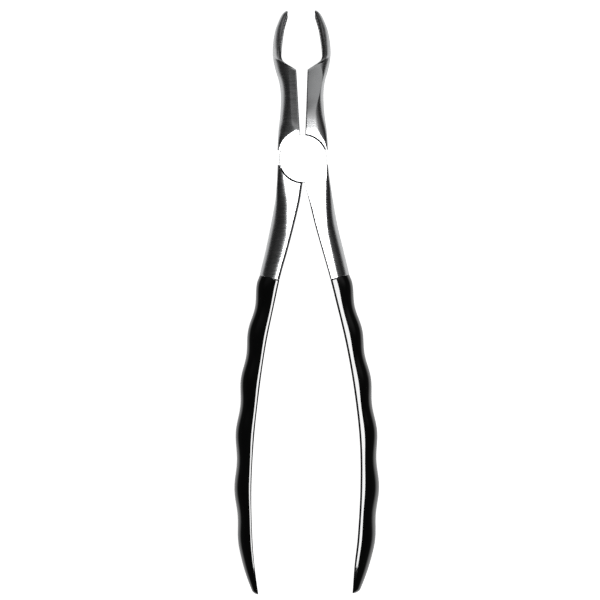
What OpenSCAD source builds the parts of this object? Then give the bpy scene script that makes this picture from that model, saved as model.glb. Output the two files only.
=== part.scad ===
// Extraction forceps of the English pattern.
//
// Two forged levers cross in a screwed lap joint. Each lever is a curved beak, a slim
// neck, half of the joint and a long handle whose rear part wears a black moulded grip
// with finger hollows on its outer side.
//
// Frame: the origin is on the joint axis, at the flat back face of the joint.
// +X is to the right, +Y runs from the joint towards the beaks and +Z runs along the
// joint axis towards the front face. The necks and beaks bend back, towards -Z.
// Millimetres throughout. The levers are drawn half open.

/* [Joint] */
// Thickness of the joint between its flat front and back faces
joint_t = 9.4; // [8.6:0.1:10.4]
// Radius of the lap disc of each lever
disc_r = 6.95; // [6.5:0.05:7.1]
// Gap between a lap disc and the wall of the other lever's recess
recess_gap = 0.3; // [0.15:0.05:0.4]
// Chamfer that breaks the outer edge of each lap disc
edge_break = 0.2; // [0.1:0.05:0.3]
// Gap between the two lap discs along the joint axis
face_gap = 0.06; // [0.04:0.01:0.12]
// Half width of the joint between its outer sides
joint_half_w = 7.5; // [7.3:0.1:8]

/* [Joint screw] */
// Radius of the plain shank that the rear lever turns on
shank_r = 2.75; // [2.4:0.05:3]
// Radial running clearance between shank and rear lever
running_gap = 0.04; // [0.02:0.01:0.08]
// Radius of the countersunk head
head_r = 4; // [3.7:0.1:4.3]
// Width of the screwdriver slot
slot_w = 1.1; // [0.8:0.1:1.4]
// Depth of the screwdriver slot
slot_depth = 0.9; // [0.6:0.1:1.1]
// Outer radius of the threaded end
thread_r = 2.5; // [2.2:0.05:2.6]
// Pitch of the thread
thread_pitch = 0.8; // [0.7:0.1:0.8]

/* [Necks and beaks] */
// Distance from the joint axis to the shoulder of each neck
neck_len = 26.35; // [25.5:0.05:27]
// Distance from the joint axis to the beak tips
beak_len = 43.9; // [43:0.1:46]
// Distance of a neck's inner face from the middle, beside the joint
neck_in_joint = 0.8; // [0.7:0.05:1]
// Distance of a neck's inner face from the middle, at the shoulder
neck_in_shoulder = 1.65; // [1.5:0.05:1.9]
// Distance of a neck's outer side from the middle, at its waist
neck_out_waist = 6.3; // [6:0.05:6.6]
// Widest distance of a beak's outer side from the middle
beak_out = 8.55; // [8.3:0.05:8.8]
// Angle at which necks and beaks bend back
bend = 24; // [14:1:28]
// Height of a neck at its shoulder
neck_h = 8; // [7.4:0.1:8.6]
// Width of a beak blade at its base
blade_w = 7.7; // [7:0.1:7.9]
// Depth of the hollow in a beak's inner face
spoon_depth = 0.6; // [0.3:0.05:0.8]
// Share of the front lever's beak width between its inner side and its ridges
front_beak_ridge = 0.16; // [0.14:0.02:0.5]
// Share of the rear lever's beak width between its inner side and its ridges
rear_beak_ridge = 0.36; // [0.14:0.02:0.5]

/* [Handles] */
// Distance from the joint axis to the ends of the handles
handle_len = 128.3; // [124:0.1:134]
// Widest distance of a handle's inner side from the middle
handle_spread = 16.05; // [15:0.05:17]
// Width of the handles behind the joint
handle_w_joint = 7.5; // [7.3:0.05:7.8]
// Width of the handles just before the grips start
handle_w_neck = 6.3; // [6.1:0.05:6.6]
// Width of the handles in the palm
handle_w_palm = 5.1; // [4.9:0.05:5.4]
// Height of the grip where it starts
grip_h_start = 9.5; // [9.2:0.1:9.8]
// Height of the grip in the palm
grip_h_palm = 9.9; // [9:0.1:10.4]
// Rise of the handle ends above the joint's middle plane
handle_rise = 3; // [0:0.5:5]

/* [Grips] */
// Distance from the joint axis to the start of the grips
grip_start = 35.6; // [34:0.1:38]
// Wall thickness of the moulded grip
grip_wall = 1; // [0.8:0.05:1.2]
// Depth of the finger hollows, half of crest to trough
hollow_depth = 0.35; // [0.2:0.05:0.45]
// Pitch of the first two finger swells
swell_pitch = 13.2; // [12.4:0.1:14]
// Growth of the pitch from one swell to the next
swell_growth = 0.8; // [0.4:0.1:1]
// Share of the front grip's width taken by its flat crest
front_grip_crest = 0.3; // [0.15:0.01:0.4]
// Share of the rear grip's width taken by its flat crest
rear_grip_crest = 0.16; // [0.15:0.01:0.4]

/* [Output] */

/* [Hidden] */
STEEL = [0.76, 0.77, 0.79];
BLACK = [0.04, 0.04, 0.045];
$fn = 96;

mid_z = joint_t / 2;
recess_r = disc_r + recess_gap;
// where a neck's crest leaves the plane of the flat joint face, and how far the blank
// stands over that plane before it is cut
flat_reach = 8.5;
flat_rise = 0.03;
// fall of the front neck's crest towards its outer side
front_lean = 0.2;
// chamfer along the front edge of the shoulder
shoulder_break = 0.45;
// where the necks start to bend back and where the bend is complete
bend_from = 6.5;
bend_to = 20;
neck_start = 2.6;
handle_start = 1.8;
// direction of the shoulder in plan: its outer end is further from the joint
shoulder_slope = 0.63;
// the shoulder runs into the beak's inner face with a fillet that starts here
fillet_in = neck_in_shoulder + 2.95;
// how far the grip's start is turned to lie square to the handle
grip_skew = 0.24;
beak_ridge = [rear_beak_ridge, front_beak_ridge];
// gap between a tang and its grip
fit_gap = 0.03;
tang_len = handle_len - 10;
// length over which a handle's end narrows, and the share of its width that this takes
end_taper = 18.7;
end_share = 0.66;
// the two levers, in the order in which paired values are listed
REAR = 0;
FRONT = 1;
// angle over which a neck's outer side turns from its middle to its crest, and the distance
// from the joint where it starts to change from a right angle
base_fall = 70;
fall_from = [10, 4];
// how far the widest line lies behind the middle at the shoulders
shoulder_belly = [0.8, 2.4];

// numbers of points along the inner side, round each inner edge and over the outer side
N_IN = 6;
N_EDGE = 3;
N_OUT = 16;

// ---------------------------------------------------------------- curves

function clamp01(t) = min(1, max(0, t));
function smooth(t) = let (c = clamp01(t)) c * c * (3 - 2 * c);
function mix(a, b, t) = a + (b - a) * t;

// segment of a rising list of [position, value] pairs that holds s
function segment(pts, s, i = 0) =
    (i >= len(pts) - 2 || s <= pts[i + 1][0]) ? i : segment(pts, s, i + 1);

function slope_at(pts, i) =
    let (a = pts[max(0, i - 1)], b = pts[min(len(pts) - 1, i + 1)])
    (b[1] - a[1]) / (b[0] - a[0]);

// smooth curve through a few [position, value] pairs
function curve(pts, s) =
    let (
        i = segment(pts, s),
        a = pts[i],
        b = pts[i + 1],
        d = b[0] - a[0],
        t = (s - a[0]) / d
    )
    (2 * pow(t, 3) - 3 * pow(t, 2) + 1) * a[1]
    + (pow(t, 3) - 2 * pow(t, 2) + t) * d * slope_at(pts, i)
    + (3 * pow(t, 2) - 2 * pow(t, 3)) * b[1]
    + (pow(t, 3) - pow(t, 2)) * d * slope_at(pts, i + 1);

// ---------------------------------------------------------------- sections
// A section lists [across, up] points, where across is counted from the lever's inner
// side. It runs down over the outer side and comes back up along the inner side.

// round outer side from the front crest at [crest, h_top] to the back crest; belly is how
// far the widest line lies behind the section's middle
function outer_arc(crest, w, h_top, h_back, fall, belly = 0) = [
    for (i = [0 : N_OUT])
        let (a = fall * (1 - 2 * i / N_OUT), h = a > 0 ? h_top + belly : h_back - belly)
        [mix(crest, w, (cos(a) - cos(fall)) / (1 - cos(fall))),
            h * sin(a) / sin(fall) - belly]
];

// steel and grip section: flat inner side, flat crests front and back, round outer side;
// lean is the fall of the front crest towards the outer side
function d_section(w, crest, h_top, h_back, edge, fall = 78, belly = 0, lean = 0) = concat(
    outer_arc(crest, w, h_top - lean * (crest - edge), h_back, fall, belly),
    [for (i = [0 : N_EDGE - 1])
        let (b = 90 - 90 * i / N_EDGE) [edge * (1 - cos(b)), edge * (1 - sin(b)) - h_back]],
    [for (i = [0 : N_IN]) [0, mix(edge - h_back, h_top - edge, i / N_IN)]],
    [for (i = [1 : N_EDGE])
        let (b = 90 * i / N_EDGE) [edge * (1 - cos(b)), h_top - edge * (1 - sin(b))]]
);

// beak section: hollow inner face, bevels up to a ridge at each rim, convex outer face
function beak_section(w, half_w, hollow, ridge, fall, belly) =
    let (
        flank = 0.85,
        turn = 69,
        bevel = [for (i = [1 : N_EDGE])
            let (f = i / (N_EDGE + 1))
            [ridge * f, half_w * mix(flank, 1, sin(turn * f) / sin(turn))]]
    )
    concat(
        outer_arc(ridge, w, half_w, half_w, fall, belly),
        [for (i = [N_EDGE - 1 : -1 : 0]) [bevel[i][0], -bevel[i][1]]],
        [for (i = [0 : N_IN])
            let (t = 2 * i / N_IN - 1) [hollow * (1 - t * t), half_w * flank * t]],
        bevel
    );

// skin over a list of rings with equal numbers of points, closed by a cap at each end
module loft(rings) {
    n = len(rings[0]);
    last = len(rings) - 1;
    polyhedron(
        points = [for (r = rings) for (p = r) p],
        faces = concat(
            [[for (j = [0 : n - 1]) j]],
            [[for (j = [n - 1 : -1 : 0]) last * n + j]],
            [for (i = [0 : last - 1]) for (j = [0 : n - 1])
                let (k = (j + 1) % n)
                [i * n + j, (i + 1) * n + j, (i + 1) * n + k]],
            [for (i = [0 : last - 1]) for (j = [0 : n - 1])
                let (k = (j + 1) % n)
                [i * n + j, (i + 1) * n + k, i * n + k]]
        )
    );
}

// ---------------------------------------------------------------- neck and beak
// Drawn on the +X side; s is the distance from the joint axis towards the beaks.

outer_line = [
    [neck_start, joint_half_w], [8.5, 7.1], [13, 6.55], [18.5, neck_out_waist],
    [22.5, neck_out_waist + 0.42], [26.5, beak_out - 0.7], [30.5, beak_out],
    [34.5, beak_out - 0.13], [38.5, beak_out - 0.85], [41.5, beak_out - 2],
    [beak_len - 0.9, beak_out - 2.8], [beak_len, beak_out - 3.5]
];
beak_in_line = [
    [28.2, fillet_in], [29.2, 5.77], [31, 6.07], [33.6, 5.85], [36.5, 5.5],
    [39.5, 5], [42, 4.25], [beak_len, 3.7]
];
// width of the flat crest along the neck, for the rear and the front lever
neck_crest_line = [
    [[neck_start, 6.3], [5, 5.4], [7, 3.9], [8.5, 3.2], [11.5, 2.7], [14, 2.75], [18, 3.8],
        [22, 4.6], [24.2, 4.3], [neck_len, 3]],
    [[neck_start, 6.3], [3.5, 5.9], [4.5, 5.45], [5.6, 4.6], [6.5, 3.8], [7.5, 2.45],
        [8.4, 1.2], [10, 2], [12, 2.25], [neck_len, 2.25]]
];
// how far the widest line of each neck lies behind its middle
neck_belly_line = [
    [[neck_start, -3.3], [6, -3], [10, -1.5], [15, 0], [20, shoulder_belly[0]],
        [neck_len, shoulder_belly[0]]],
    [[neck_start, -3.3], [5, -3.2], [8.5, -1], [12, 1], [18, 2.2],
        [neck_len, shoulder_belly[1]]]
];

function neck_in(s) = mix(neck_in_joint, neck_in_shoulder, (s - disc_r) / (neck_len - disc_r));

// drop of the neck's middle line below the joint's middle plane
function drop(s) =
    let (l = bend_to - bend_from, t = clamp01((s - bend_from) / l))
    tan(bend) * (l * (pow(t, 3) - pow(t, 4) / 2) + max(0, s - bend_to));

function over_flat(s) = flat_rise * clamp01((flat_reach - s) / 0.5);

function neck_half_h(s) =
    mix(mid_z, neck_h / 2, smooth((s - 12) / 14))
    + over_flat(s) - 0.072 * (1 - pow(1 - clamp01((s - 9) / 2.2), 2));

// height of the front neck's crest over its middle line: a straight fall from the joint
function front_neck_top(s) =
    let (
        end = mid_z - drop(neck_len) + neck_half_h(neck_len),
        fall = (joint_t - end) / (neck_len - flat_reach)
    )
    joint_t - fall * max(0, s - flat_reach) + over_flat(s) - (mid_z - drop(s));

function neck_section(lever, s, w) =
    let (
        h = neck_half_h(s),
        crest = min(w - 0.25, curve(neck_crest_line[lever], s)),
        trim = max(0, s - neck_len + shoulder_break),
        top = lever == REAR ? h : front_neck_top(s),
        lean = lever == REAR ? 0 : front_lean * smooth((s - flat_reach) / 4),
        fall = mix(90, base_fall, smooth((s - fall_from[lever]) / 10))
    )
    d_section(w, crest, top - trim, h, 0.35, fall, curve(neck_belly_line[lever], s), lean);

function neck_ring(lever, s) =
    let (
        skew = shoulder_slope * smooth((s - 12) / (neck_len - 12)),
        a = [neck_in(s), s],
        b_s = s + skew * (curve(outer_line, s) - a[0]),
        b = [curve(outer_line, b_s), b_s],
        w = b[0] - a[0]
    )
    [for (p = neck_section(lever, s, w))
        let (q = a + (b - a) * p[0] / w) [q[0], q[1], mid_z - drop(q[1]) + p[1]]];

// t runs from 0 at the shoulder to 1 at the tip
function beak_ring(lever, t) =
    let (
        a_s = mix(28.2, beak_len, t),
        b_s = mix(30.1, beak_len, t),
        end = sqrt(max(0.02, 1 - pow(max(0, b_s - beak_len + 1), 2))),
        a0 = [curve(beak_in_line, a_s), a_s],
        b0 = [curve(outer_line, b_s), b_s],
        c = (a0 + b0) / 2,
        a = mix(c, a0, end),
        b = mix(c, b0, end),
        w = norm(b - a),
        tilt = bend * smooth(t * 4),
        half_w = blade_w / 2 * (1 - 0.5 * smooth((t - 0.05) / 0.95)) * sqrt(end),
        hollow = spoon_depth * end * min(1, t * 8),
        ridge = w * mix(0.5, beak_ridge[lever], smooth(t * 3)),
        fall = mix(base_fall, 55, smooth(t * 4)),
        belly = shoulder_belly[lever] * (1 - smooth(t * 4))
    )
    [for (p = beak_section(w, half_w, hollow, ridge, fall, belly))
        let (q = a + (b - a) * p[0] / w)
        [q[0], q[1] + p[1] * sin(tilt) - 0.8 * smooth(t * 4) * sin(bend),
            mid_z - drop(q[1]) + p[1] * cos(tilt)]];

module neck_and_beak(lever) {
    steps = [for (i = [0 : 21]) mix(neck_start, neck_len - shoulder_break, i / 21)];
    beak_steps = [for (i = [0 : 16]) (1 - cos(180 * i / 16)) / 2];
    difference() {
        loft(concat(
            [for (s = steps) neck_ring(lever, s)],
            [neck_ring(lever, neck_len)],
            [for (t = beak_steps) beak_ring(lever, t)]
        ));
        translate([-5, 0, joint_t]) cube([20, 12, 20]);
        translate([-5, 0, -20]) cube([20, 9.3, 20]);
    }
}

// ---------------------------------------------------------------- handle
// Drawn on the +X side; s is the distance from the joint axis towards the handle ends.

// distance of the inner side from the middle, for the rear and the front lever
inner_line = [
    [[handle_start, -0.9], [7.3, 0.2], [12.7, 1.1], [19.8, 2.85], [26.9, 4.76], [34, 6.85],
        [41, 8.5], [55.2, 11.6], [69.4, 13.8], [83.5, handle_spread - 0.6],
        [97.7, handle_spread + 0.25], [111.9, handle_spread + 0.1],
        [120, handle_spread - 0.45], [handle_len, handle_spread - 1.45]],
    [[handle_start, -0.9], [7.3, 0.5], [12.7, 1.76], [19.8, 3.39], [26.9, 5.3], [34, 7.25],
        [41, 8.97], [55.2, 12.17], [69.4, 14.45], [83.5, handle_spread - 0.25],
        [97.7, handle_spread - 0.25], [111.9, handle_spread - 1.2],
        [120, handle_spread - 2.2], [handle_len, handle_spread - 2.9]]
];
// width of the handle before its end narrows, for the rear and the front lever
width_line = [
    [[handle_start, 8.4], [7.3, handle_w_joint + 0.1], [16.2, 7.1],
        [30.4, handle_w_neck + 0.1], [44.6, 5.9], [71.7, 5.45], [83.5, handle_w_palm + 0.05],
        [100, handle_w_palm - 0.5], [112, handle_w_palm - 0.85],
        [handle_len, handle_w_palm - 1]],
    [[handle_start, 8.3], [7.3, handle_w_joint], [16.2, 6.8], [30.4, handle_w_neck - 0.13],
        [44.6, 5.55], [71.7, 5.1], [83.5, handle_w_palm - 0.05], [100, handle_w_palm + 0.15],
        [112, handle_w_palm + 0.15], [120, handle_w_palm + 0.4],
        [handle_len, handle_w_palm + 0.2]]
];
// distance of the flat crest's outer limit from the middle, on the bare steel of the rear
// and the front lever
crest_line = [
    [[handle_start, 6.4], [4.6, 5.6], [7.3, 5.1], [12, 4.4], [16.5, 4.4], [22.4, 4.6],
        [28.3, 5.5], [32.8, 6.75], [36, 7.6]],
    [[handle_start, 7.1], [4.6, 6.85], [7.3, 6.5], [12, 6.35], [16.5, 6.45], [22.4, 6.85],
        [28.3, 7.95], [32.8, 8.9], [36, 9.6]]
];
// rounding of the bare steel's inner edges, for the rear and the front lever
steel_edge = [0.8, 0.5];
// distance from the joint where that rounding starts to grow
steel_edge_from = [1, 8];
// how far the widest line lies behind the middle where the bare steel ends
steel_belly = [0.6, 1];
grip_crest = [rear_grip_crest, front_grip_crest];
// how far the widest line lies behind the middle on the grips' rear part
grip_belly = [0.4, 1.3];

function handle_mid_z(s) = mid_z + handle_rise * pow(max(0, s - 36) / (handle_len - 36), 2);

// runs from 1 down to nearly 0 over the rounded end of the handle
function end_round(s, l, r) = sqrt(max(0.004, 1 - pow(clamp01((s - l + r) / r), 2)));

// the finger swells on the outer side
function swell_count(s) =
    let (a = swell_pitch, b = swell_growth / 2)
    (sqrt(max(0, a * a + 4 * b * (s - 38.3))) - a) / (2 * b);
function swell(s) =
    let (fade = smooth((s - 35.2) / 2.6) * (1 - smooth((s - 100) / 22)))
    s < 34 ? 0 : hollow_depth * fade * cos(360 * swell_count(max(36, s)));

function handle_in(lever, s) = curve(inner_line[lever], s);
function handle_out(lever, s) =
    let (taper = clamp01((s - handle_len + end_taper) / end_taper))
    handle_in(lever, s)
    + curve(width_line[lever], s) * (1 - end_share * pow(taper, 2))
    * end_round(s, handle_len, 1.2);

// line across the handle from its inner to its outer side
function handle_across(lever, s) =
    let (
        skew = grip_skew * smooth((s - 8) / 20) * (1 - smooth((s - 70) / 40)),
        b_s = s - skew * (handle_out(lever, s) - handle_in(lever, s))
    )
    [handle_out(lever, b_s) - handle_in(lever, s), s - b_s];

function handle_w(lever, s) = norm(handle_across(lever, s));

// places a section across the handle, inset from its inner side
function handle_place(lever, section_pts, s, inset) =
    let (u = handle_across(lever, s) / handle_w(lever, s))
    [for (p = section_pts)
        let (d = p[0] + inset)
        [handle_in(lever, s) + u[0] * d, u[1] * d - s, handle_mid_z(s) + p[1]]];

// bare steel between the joint and the grip
function steel_ring(lever, s) =
    let (
        w = handle_w(lever, s),
        edge = mix(0.1, steel_edge[lever], smooth((s - steel_edge_from[lever]) / 8)),
        crest = max(edge + 0.1, min(w - 0.6, curve(crest_line[lever], s) - handle_in(lever, s))),
        belly = mix(-3.4, steel_belly[lever], smooth((s - 5) / 16))
    )
    handle_place(lever, d_section(w, crest, mid_z, mid_z, edge, 90, belly), s, 0);

// tang that carries the grip
function tang_ring(lever, s, grow = 0) =
    let (
        end = end_round(s, tang_len + 0.5, 6),
        w0 = handle_w(lever, s) - 2 * grip_wall - hollow_depth,
        w = w0 * end + 2 * grow,
        h = (grip_half_h(s) - grip_wall - 0.1) * end + grow
    )
    handle_place(lever, d_section(w, w * 0.35, h, h, w * 0.15), s, grip_wall + (w0 - w) / 2);

function grip_half_h(s) =
    mix(grip_h_start / 2, grip_h_palm / 2, smooth((s - 50) / 40))
    * mix(1, 0.8, smooth((s - 96) / 30));

// lip is the rounding left of the grip's start edge, 1 at the start and 0 beyond it
function grip_ring(lever, s, lip) =
    let (
        w = handle_w(lever, s) + swell(s) - 0.36 * lip,
        h = (grip_half_h(s) - 0.3 * lip) * end_round(s, handle_len, 14),
        palm = smooth((s - 80) / 25),
        crest = w * grip_crest[lever] * mix(1, 0.8, palm),
        belly = grip_belly[lever] * palm
    )
    handle_place(
        lever, d_section(w, crest, h, h, min(0.6, crest / 2), belly = belly), s, 0.18 * lip
    );

module reversed_loft(rings) {
    loft([for (i = [len(rings) - 1 : -1 : 0]) rings[i]]);
}

// distances from the joint axis of the sections along the tang; the same ones shape the
// grip's bore, so that the two surfaces run parallel
tang_steps = [for (i = [0 : 20]) mix(grip_start, tang_len, sin(90 * i / 20))];

module handle(lever) {
    steel = [for (i = [0 : 14]) mix(handle_start, grip_start, i / 14)];
    reversed_loft(concat(
        [for (s = steel) steel_ring(lever, s)], [for (s = tang_steps) tang_ring(lever, s)]
    ));
}

module grip(lever) {
    run = handle_len - grip_start;
    lip_len = 0.5;
    outer = concat(
        [for (i = [0 : 2]) fit_gap + lip_len * (1 - cos(45 * i))],
        [for (i = [1 : 44]) mix(fit_gap + lip_len, run - 8, i / 44)],
        [for (i = [1 : 9]) run - 8 + 8 * sin(10 * i)]
    );
    lips = [1, 1 - sin(45), 0];
    bore = [for (s = tang_steps)
        s + (s < grip_start + 0.1 || s > tang_len - 0.1 ? fit_gap : 0)];
    loft(concat(
        [for (i = [len(outer) - 1 : -1 : 0])
            grip_ring(lever, grip_start + outer[i], i < 3 ? lips[i] : 0)],
        [for (s = bore) tang_ring(lever, s, fit_gap)]
    ));
}

// ---------------------------------------------------------------- joint screw

ridges = floor((joint_t - mid_z - 0.6) / thread_pitch);
thread_from = mid_z + 0.15;
thread_depth = 0.3;

// outline of the threaded length, grown by a clearance
function thread_outline(grow) = concat(
    [for (i = [0 : ridges - 1]) for (j = [0, 1])
        [thread_r - thread_depth * (1 - j) + grow, thread_from + thread_pitch * (i + j / 2)]],
    [[thread_r - thread_depth + grow, thread_from + thread_pitch * ridges],
        [thread_r + grow, thread_from + thread_pitch * ridges + 0.15]]
);

module screw_body() {
    rotate_extrude() polygon(concat(
        [[0, 0.03], [head_r, 0.03], [head_r, 0.3], [shank_r, 0.3 + head_r - shank_r],
            [shank_r, mid_z - 0.02], [thread_r - thread_depth, mid_z - 0.02]],
        thread_outline(0),
        [[thread_r, joint_t - 0.02], [0, joint_t - 0.02]]
    ));
}

// hole for the head and the plain shank, through the rear lever
module shank_hole() {
    g = running_gap;
    rotate_extrude() polygon([
        [0, -1], [head_r + g, -1], [head_r + g, 0.3],
        [shank_r + g, 0.3 + head_r - shank_r], [shank_r + g, mid_z + 1], [0, mid_z + 1]
    ]);
}

// threaded hole through the front lever
module thread_hole() {
    rotate_extrude() polygon(concat(
        [[0, mid_z - 1], [thread_r - thread_depth + 0.02, mid_z - 1]],
        thread_outline(0.02),
        [[thread_r + 0.02, joint_t + 1], [0, joint_t + 1]]
    ));
}

// ---------------------------------------------------------------- levers

// lap disc standing on the parting plane, with its outer edge broken
module lap_disc(h) {
    rotate_extrude() polygon([
        [0, 0], [disc_r, 0], [disc_r, h - edge_break], [disc_r - edge_break, h], [0, h]
    ]);
}

// lever blank with its neck on the left and its handle on the right
module front_blank() {
    mirror([1, 0, 0]) neck_and_beak(FRONT);
    handle(FRONT);
}

// lever blank with its neck on the right and its handle on the left
module rear_blank() {
    neck_and_beak(REAR);
    mirror([1, 0, 0]) handle(REAR);
}

// ---------------------------------------------------------------- sub-parts

module front_half() color(STEEL) {
    floor_z = mid_z + face_gap / 2;
    difference() {
        union() {
            difference() {
                front_blank();
                translate([0, 0, -1]) cylinder(r = recess_r, h = floor_z + 1);
            }
            translate([0, 0, floor_z]) lap_disc(joint_t - floor_z);
        }
        thread_hole();
    }
}

module rear_half() color(STEEL) {
    floor_z = mid_z - face_gap / 2;
    difference() {
        union() {
            difference() {
                rear_blank();
                translate([0, 0, floor_z]) cylinder(r = recess_r, h = joint_t);
            }
            translate([0, 0, floor_z]) rotate([180, 0, 0]) lap_disc(floor_z);
        }
        shank_hole();
    }
}

module joint_screw() color(STEEL) difference() {
    screw_body();
    translate([-head_r - 1, -slot_w / 2, -1]) cube([2 * head_r + 2, slot_w, slot_depth + 1]);
}

module front_grip() color(BLACK) grip(FRONT);

module rear_grip() color(BLACK) mirror([1, 0, 0]) grip(REAR);

front_half();
rear_half();
joint_screw();
front_grip();
rear_grip();
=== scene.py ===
"""Extraction forceps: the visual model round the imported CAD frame.

Every steel and grip surface is a loft of closed sections, worked out in millimetres in
the frame of the CAD and handed to Blender in metres. The main sizes come from the CAD
nodes' boxes; the values below them are the shape between those sizes.
"""

import math
from collections import namedtuple

import bpy
from mathutils import Matrix, Vector


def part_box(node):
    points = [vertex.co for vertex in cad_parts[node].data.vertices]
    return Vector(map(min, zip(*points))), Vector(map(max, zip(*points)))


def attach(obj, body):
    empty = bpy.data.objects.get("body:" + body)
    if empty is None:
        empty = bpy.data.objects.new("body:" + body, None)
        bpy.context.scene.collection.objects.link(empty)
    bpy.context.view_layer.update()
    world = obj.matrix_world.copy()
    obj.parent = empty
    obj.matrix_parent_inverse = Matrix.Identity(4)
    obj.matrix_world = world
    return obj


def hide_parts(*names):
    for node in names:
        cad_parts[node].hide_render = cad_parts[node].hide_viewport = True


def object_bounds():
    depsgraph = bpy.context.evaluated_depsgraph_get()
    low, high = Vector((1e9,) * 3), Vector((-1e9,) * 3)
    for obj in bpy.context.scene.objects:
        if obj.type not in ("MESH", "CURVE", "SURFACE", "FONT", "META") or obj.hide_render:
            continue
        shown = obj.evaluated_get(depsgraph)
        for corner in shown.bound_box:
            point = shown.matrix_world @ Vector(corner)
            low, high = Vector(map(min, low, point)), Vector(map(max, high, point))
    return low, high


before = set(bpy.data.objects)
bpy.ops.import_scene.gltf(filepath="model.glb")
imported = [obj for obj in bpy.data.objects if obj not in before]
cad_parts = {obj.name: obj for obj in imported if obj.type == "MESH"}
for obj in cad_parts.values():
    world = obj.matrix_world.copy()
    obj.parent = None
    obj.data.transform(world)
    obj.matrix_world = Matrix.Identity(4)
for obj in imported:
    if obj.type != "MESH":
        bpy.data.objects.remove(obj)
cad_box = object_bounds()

MM = 0.001


def box_mm(node):
    low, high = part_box(node)
    return low / MM, high / MM


FRONT_HALF = box_mm("front_half")
FRONT_GRIP = box_mm("front_grip")
SCREW = box_mm("joint_screw")

# ---------------------------------------------------------------- sizes, mm
# Names that end in _RUN are stretches of a lever as (start, length), both along the lever
# from the joint axis, over which its section changes smoothly.

# joint
SCREW_SINK = 0.02  # how far the screw's end lies below the joint's front face
HEAD_SINK = 0.03  # how far the screw's head lies below the back face
JOINT_T = SCREW[1].z + SCREW_SINK
MID_Z = JOINT_T / 2
HEAD_R = (SCREW[1].y - SCREW[0].y) / 2
HEAD_RIM = 0.3  # depth at which the head's cone starts
SHANK_R = 2.75
SHANK_SHY = 0.02  # how far the plain shank ends short of the joint's middle
THREAD_R = 2.5
THREAD_DEPTH = 0.3
THREAD_PITCH = 0.8
THREAD_RUNOUT = 0.15
THREAD_CLEAR = 0.6  # length of the screw's front end that carries no full thread
SCREW_CHAMFER = 0.1
HOLE_CHAMFER = 0.12
RUNNING_GAP = 0.04
THREAD_GAP = 0.02
SLOT_W = 1.1
SLOT_DEPTH = 0.9
DISC_R = 6.95
RECESS_R = 7.25
FACE_GAP = 0.06
EDGE_BREAK = 0.2
ROOT_FILLET = 0.15
SEAM_END = 6.5  # distance from the middle where the seam opens on the joint's outer sides
JOINT_HALF_W = 7.5
FRONT_FLAT = 12  # length of neck that is cut off level with the front face
BACK_FLAT = 9.3  # and level with the back face
PAST = 1  # cutting tools reach this far past a face
TOOL_REACH = 20  # size of the blocks that cut the faces

# necks
NECK_START = 2.6
NECK_LEN = 26.35
NECK_IN_JOINT = 0.8
NECK_IN_SHOULDER = 1.65
NECK_OUT_WAIST = 6.3
NECK_EDGE = 0.35  # rounding of the inner edges
NECK_SIDE = 0.25  # least width of the round outer side
NECK_H = 8
NECK_H_RUN = (12, 14)
NECK_DIP = 0.072  # soft step down just beyond the flat joint faces
NECK_DIP_RUN = (9, 2.2)
BEND = math.radians(24)
BEND_FROM = 6.5
BEND_TO = 20
FLAT_REACH = 8.5  # where a neck's crest leaves the plane of the flat joint faces
FLAT_RISE = 0.03  # how far the blank stands over that plane before it is cut
FLAT_FADE = 0.5
LEAN_RUN = (FLAT_REACH, 4)
CROWN_RUN = (12, 4)
SHOULDER_SLOPE = 0.63
SHOULDER_RUN = (12, NECK_LEN - 12)
SHOULDER_BREAK = 0.45  # chamfer along the front edge of the shoulder

# beaks
TIP_LEAN = 0.084  # the tip's bent section reaches this far past the beak's own length
BEAK_LEN = FRONT_HALF[1].y - TIP_LEAN
BEAK_OUT = 8.55
BEAK_IN_START = 28.2
BEAK_OUT_START = 30.1
BEAK_SETBACK = 0.8  # how far the bent sections are drawn back towards the joint
BLADE_W = 7.7
BLADE_TAPER = 0.5  # share of the blade's width that is gone at the tip
TIP_ROUND = 1
TIP_LEFT = 0.0036  # square of the share of the section that is left at the very tip
SPOON_DEPTH = 0.6
RIM_SHARE = 0.85  # share of the blade's width between the rims of the hollow
RIM_TURN = 1.2  # radians that a rim's bevel turns through
GROOVE_PITCH = 0.8
GROOVE_DEPTH = 0.09
GROOVE_RIM = 0.35  # share of the hollow's half width over which the grooves run out
GROOVE_IN_RUN = (34, 1.5)
GROOVE_OUT_RUN = (BEAK_LEN - 1.6, 1)

# degrees that the outer side turns through from its middle to a crest
JOINT_FALL = 90
NECK_FALL = 70
BEAK_FALL = 55
GRIP_FALL = 78

# bare handles
HANDLE_LEN = -FRONT_GRIP[0].y
HANDLE_START = 1.8
HANDLE_SPREAD = 16.05
HANDLE_RISE = 3  # how far the handle's end stands forward of the joint
HANDLE_RISE_FROM = 36
HANDLE_SIDE = 0.6  # least width of the round outer side
HANDLE_CREST = 0.1  # least width of the flat crest
HANDLE_SHARP = 0.1  # rounding of the inner edges beside the joint
HANDLE_EDGE_LEN = 8
HANDLE_BELLY = -3.4  # belly beside the joint
HANDLE_BELLY_RUN = (5, 16)
END_TAPER = 18.7  # length over which the handle's end narrows
END_SHARE = 0.66  # share of the width that the taper takes away
END_ROUND = 1.2

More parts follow.
